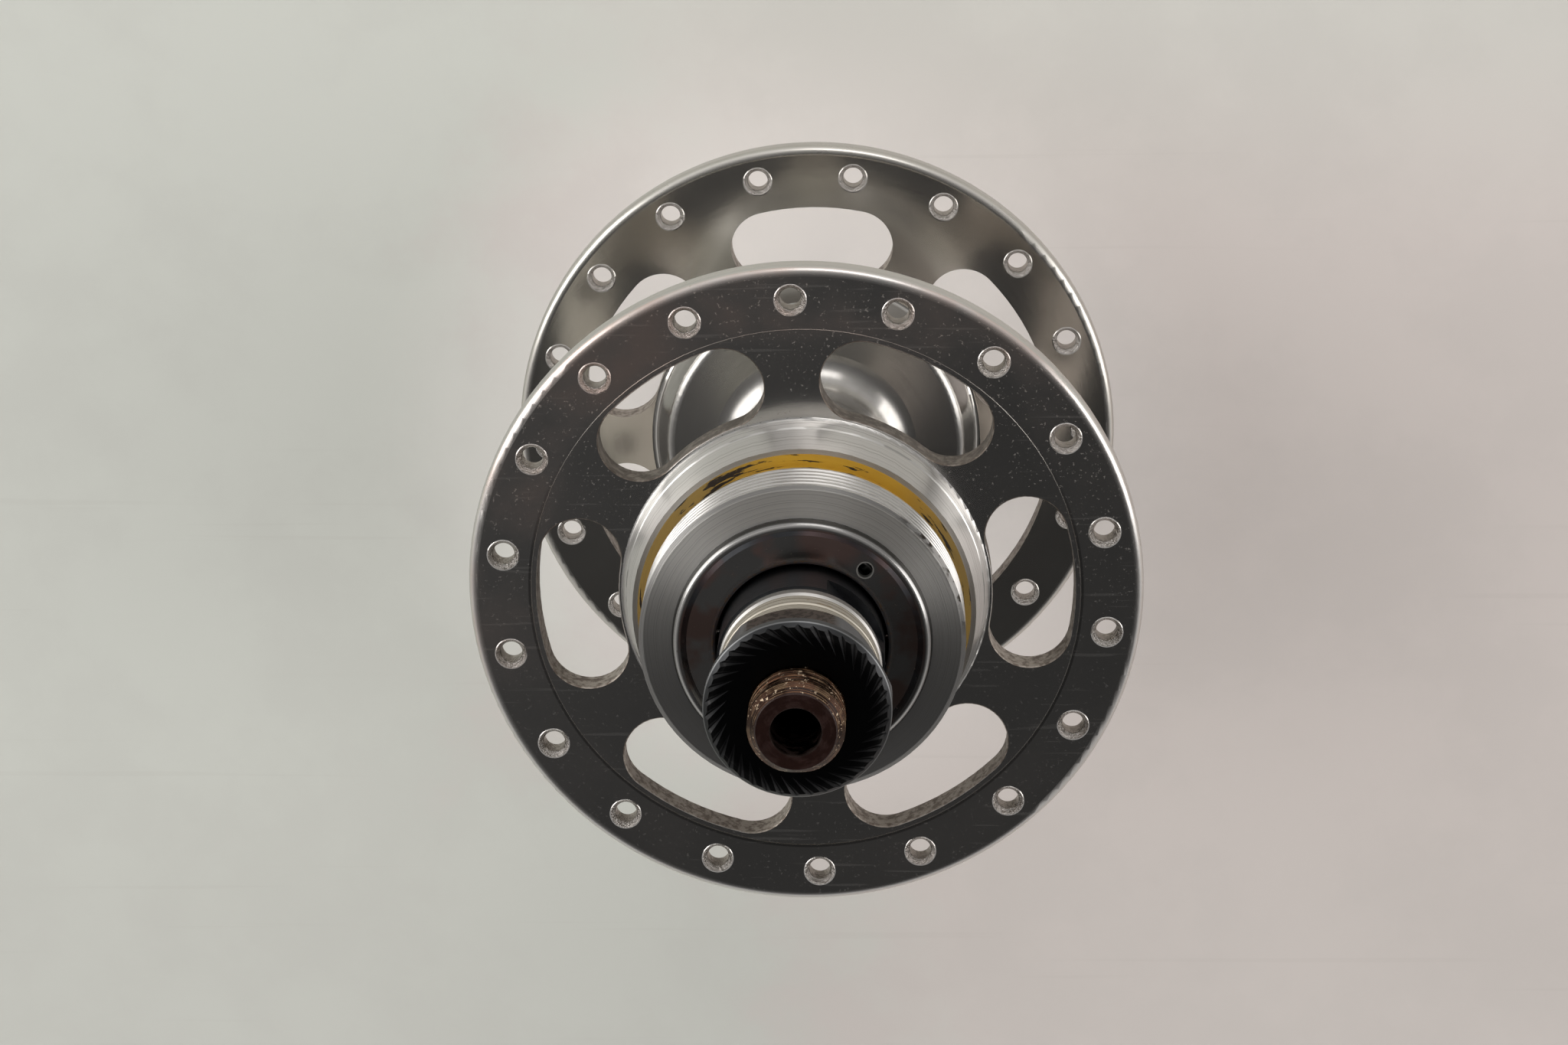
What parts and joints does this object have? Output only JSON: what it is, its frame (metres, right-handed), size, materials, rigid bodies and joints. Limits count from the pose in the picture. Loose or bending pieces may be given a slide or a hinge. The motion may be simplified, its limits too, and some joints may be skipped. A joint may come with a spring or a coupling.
{
  "type": "bicycle rear hub",
  "caption": "Slotted high-flange rear bicycle hub with freewheel thread, cup-and-cone ball bearings, dust caps, serrated locknuts and a hollow threaded axle.",
  "frame": {"origin": "on the axle's axis, midway between the outer faces of the two locknuts", "axes": "+Z along the axle towards the drive side (the freewheel thread), +X and +Y across the axle, +Y away from the flats at the axle's ends and +X to the right when the drive side is seen with +Y up"},
  "size_m": [0.0744, 0.0744, 0.1308],
  "materials": {
    "shell": "polished, worn and lightly scratched",
    "bearing_steel": "ground",
    "cap_chrome": "polished chrome, slightly pitted",
    "axle_steel": "darkened and rusty",
    "cone_steel": "hardened, darkened",
    "washer_steel": "zinc plated, yellowed",
    "nut_steel": "blackened, worn bright at the edges, with rust spots"
  },
  "bodies": {
    "axle_assembly": {"axle": "axle_steel", "drive_cone": "cone_steel", "left_cone": "cone_steel", "drive_lock_washer": "washer_steel", "left_lock_washer": "washer_steel", "drive_inner_spacer": "washer_steel", "drive_outer_spacer": "washer_steel", "left_spacer": "washer_steel", "drive_locknut": "nut_steel", "left_locknut": "nut_steel"},
    "hub_body": {"hub_shell": "shell", "drive_bearing_cup": "bearing_steel", "left_bearing_cup": "bearing_steel", "drive_dust_cap": "cap_chrome", "left_dust_cap": "cap_chrome"},
    "drive_balls": {"drive_ball_1": "bearing_steel", "drive_ball_2": "bearing_steel", "drive_ball_3": "bearing_steel", "drive_ball_4": "bearing_steel", "drive_ball_5": "bearing_steel", "drive_ball_6": "bearing_steel", "drive_ball_7": "bearing_steel", "drive_ball_8": "bearing_steel", "drive_ball_9": "bearing_steel"},
    "left_balls": {"left_ball_1": "bearing_steel", "left_ball_2": "bearing_steel", "left_ball_3": "bearing_steel", "left_ball_4": "bearing_steel", "left_ball_5": "bearing_steel", "left_ball_6": "bearing_steel", "left_ball_7": "bearing_steel", "left_ball_8": "bearing_steel", "left_ball_9": "bearing_steel"}
  },
  "joints": [
    {"name": "hub_spin", "type": "hinge", "parent": "axle_assembly", "child": "hub_body", "pos_m": [0, 0, 0], "axis": [0, 0, 1], "continuous": true},
    {"name": "drive_balls_orbit", "type": "hinge", "parent": "axle_assembly", "child": "drive_balls", "pos_m": [0, 0, 0.0326], "axis": [0, 0, 1], "continuous": true},
    {"name": "left_balls_orbit", "type": "hinge", "parent": "axle_assembly", "child": "left_balls", "pos_m": [0, 0, -0.0341], "axis": [0, 0, 1], "continuous": true}
  ],
  "couplings": [
    {"joint": "drive_balls_orbit", "follows": "hub_spin", "ratio": 0.6274},
    {"joint": "left_balls_orbit", "follows": "hub_spin", "ratio": 0.6274}
  ]
}
